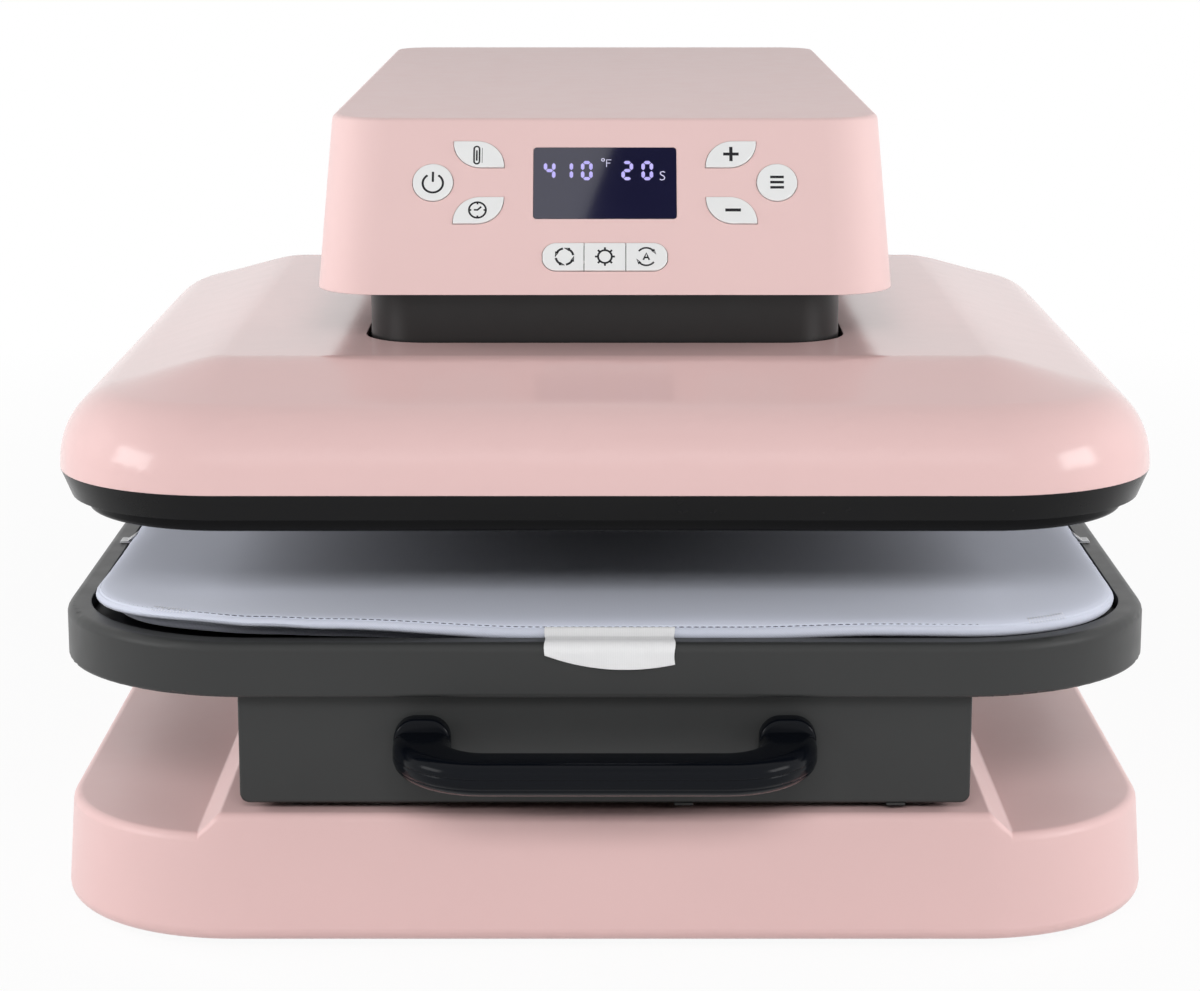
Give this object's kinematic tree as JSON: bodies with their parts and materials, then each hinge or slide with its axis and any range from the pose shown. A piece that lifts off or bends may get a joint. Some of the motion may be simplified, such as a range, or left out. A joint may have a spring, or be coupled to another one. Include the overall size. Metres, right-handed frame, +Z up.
{
  "type": "desktop heat press",
  "caption": "Desktop heat press: a covered heated platen moves down on a lead screw onto a padded tray, which slides out of the base by its handle.",
  "frame": {"origin": "on the table, under the middle of the footprint (handle included in the length)", "axes": "+X to the right of someone facing the control panel, +Y from the handle to the back, +Z up"},
  "size_m": [0.4572, 0.664, 0.3263],
  "materials": {
    "pink_cover": "smooth moulded gloss",
    "charcoal_plastic": "fine satin moulding",
    "black_plastic": "satin moulding",
    "handle_plastic": "polished moulding",
    "frame_steel": "zinc plated sheet",
    "bright_steel": "ground and polished",
    "screw_steel": "plated fastener",
    "cast_aluminium": "machined casting",
    "coated_platen": "non-stick coated pressing face",
    "bronze": "machined bronze",
    "silicone": "soft moulded rubber",
    "foam_mat": "silicone foam",
    "pad_fabric": "fine cotton twill, padded",
    "white_tape": "woven satin tape",
    "glass_wool": "needled glass-fibre blanket",
    "key_white": "smooth moulded",
    "display_glass": "dark tinted window",
    "module_plastic": "display module",
    "circuit_board": "solder resist",
    "inlet_plastic": "moulded socket"
  },
  "bodies": {
    "base": {"base_cover": "pink_cover", "base_pan": "frame_steel", "rubber_feet": "silicone", "machine_screws": "screw_steel", "frame_side_plates": "frame_steel", "cross_plates": "frame_steel", "head_plate": "cast_aluminium", "rail_brackets": "frame_steel", "slide_outer_rails": "frame_steel", "column_cover": "pink_cover", "head_cover": "pink_cover", "head_underside": "charcoal_plastic", "neck_sleeve": "charcoal_plastic", "head_bearings": "bronze", "gear_motor": "screw_steel", "limit_switches": "black_plastic", "key_board": "circuit_board", "display_module": "module_plastic", "display_lens": "display_glass", "rear_panel": "charcoal_plastic", "power_inlet": "inlet_plastic", "switch_housing": "inlet_plastic", "main_board": "circuit_board"},
    "screw": {"lead_screw": "bright_steel", "screw_gear": "screw_steel"},
    "pinion": {"motor_pinion": "screw_steel"},
    "platen": {"platen_cover": "pink_cover", "trim_ring": "black_plastic", "heat_guard_ring": "black_plastic", "heat_platen": "coated_platen", "heating_element": "bright_steel", "platen_standoffs": "screw_steel", "platen_bolts": "screw_steel", "insulation_blanket": "glass_wool", "thermal_sensors": "screw_steel", "platen_bracket": "cast_aluminium", "disc_springs": "bright_steel", "lift_carriage": "cast_aluminium", "lift_nut": "bronze", "guide_rods": "bright_steel"},
    "drawer": {"drawer_box": "charcoal_plastic", "drawer_handle": "handle_plastic", "handle_bolts": "screw_steel", "tray": "charcoal_plastic", "lower_platen": "cast_aluminium", "silicone_mat": "foam_mat", "press_pad": "pad_fabric", "pad_tags": "white_tape", "slide_inner_rails": "frame_steel"},
    "slide_middle": {"slide_middle_rails": "frame_steel"},
    "rocker": {"rocker": "black_plastic"},
    "power_key": {"power_key": "key_white"},
    "function_key": {"function_key": "key_white"},
    "temperature_key": {"temperature_key": "key_white"},
    "timer_key": {"timer_key": "key_white"},
    "plus_key": {"plus_key": "key_white"},
    "minus_key": {"minus_key": "key_white"},
    "cycle_key": {"cycle_key": "key_white"},
    "light_key": {"light_key": "key_white"},
    "auto_key": {"auto_key": "key_white"}
  },
  "joints": [
    {"name": "platen_lift", "type": "slide", "parent": "base", "child": "platen", "axis": [0, 0, -1], "range_m": [0, 0.0325]},
    {"name": "screw_spin", "type": "hinge", "parent": "base", "child": "screw", "pos_m": [0, -0.06447, 0.2821], "axis": [0, 0, 1], "range_deg": [0, 1465]},
    {"name": "pinion_spin", "type": "hinge", "parent": "base", "child": "pinion", "pos_m": [0, -0.01937, 0.2821], "axis": [0, 0, 1], "range_deg": [-4395, 0]},
    {"name": "drawer_slide", "type": "slide", "parent": "base", "child": "drawer", "axis": [0, -1, 0], "range_m": [0, 0.3]},
    {"name": "middle_rail_slide", "type": "slide", "parent": "base", "child": "slide_middle", "axis": [0, -1, 0], "range_m": [0, 0.15]},
    {"name": "rocker_tilt", "type": "hinge", "parent": "base", "child": "rocker", "pos_m": [0.046, 0.32103, 0.112], "axis": [1, 0, 0], "range_deg": [0, 16]},
    {"name": "power_key_press", "type": "slide", "parent": "base", "child": "power_key", "axis": [0, 0.8581, -0.5134], "range_m": [0, 0.0006], "stiffness_N_per_m": 800},
    {"name": "function_key_press", "type": "slide", "parent": "base", "child": "function_key", "axis": [0, 0.8581, -0.5134], "range_m": [0, 0.0006], "stiffness_N_per_m": 800},
    {"name": "temperature_key_press", "type": "slide", "parent": "base", "child": "temperature_key", "axis": [0, 0.8581, -0.5134], "range_m": [0, 0.0006], "stiffness_N_per_m": 800},
    {"name": "timer_key_press", "type": "slide", "parent": "base", "child": "timer_key", "axis": [0, 0.8581, -0.5134], "range_m": [0, 0.0006], "stiffness_N_per_m": 800},
    {"name": "plus_key_press", "type": "slide", "parent": "base", "child": "plus_key", "axis": [0, 0.8581, -0.5134], "range_m": [0, 0.0006], "stiffness_N_per_m": 800},
    {"name": "minus_key_press", "type": "slide", "parent": "base", "child": "minus_key", "axis": [0, 0.8581, -0.5134], "range_m": [0, 0.0006], "stiffness_N_per_m": 800},
    {"name": "cycle_key_press", "type": "slide", "parent": "base", "child": "cycle_key", "axis": [0, 0.8581, -0.5134], "range_m": [0, 0.0006], "stiffness_N_per_m": 800},
    {"name": "light_key_press", "type": "slide", "parent": "base", "child": "light_key", "axis": [0, 0.8581, -0.5134], "range_m": [0, 0.0006], "stiffness_N_per_m": 800},
    {"name": "auto_key_press", "type": "slide", "parent": "base", "child": "auto_key", "axis": [0, 0.8581, -0.5134], "range_m": [0, 0.0006], "stiffness_N_per_m": 800}
  ],
  "couplings": [
    {"joint": "screw_spin", "follows": "platen_lift", "rad_per_m": 785.4},
    {"joint": "pinion_spin", "follows": "platen_lift", "rad_per_m": -2356.2},
    {"joint": "middle_rail_slide", "follows": "drawer_slide", "ratio": 0.5}
  ]
}
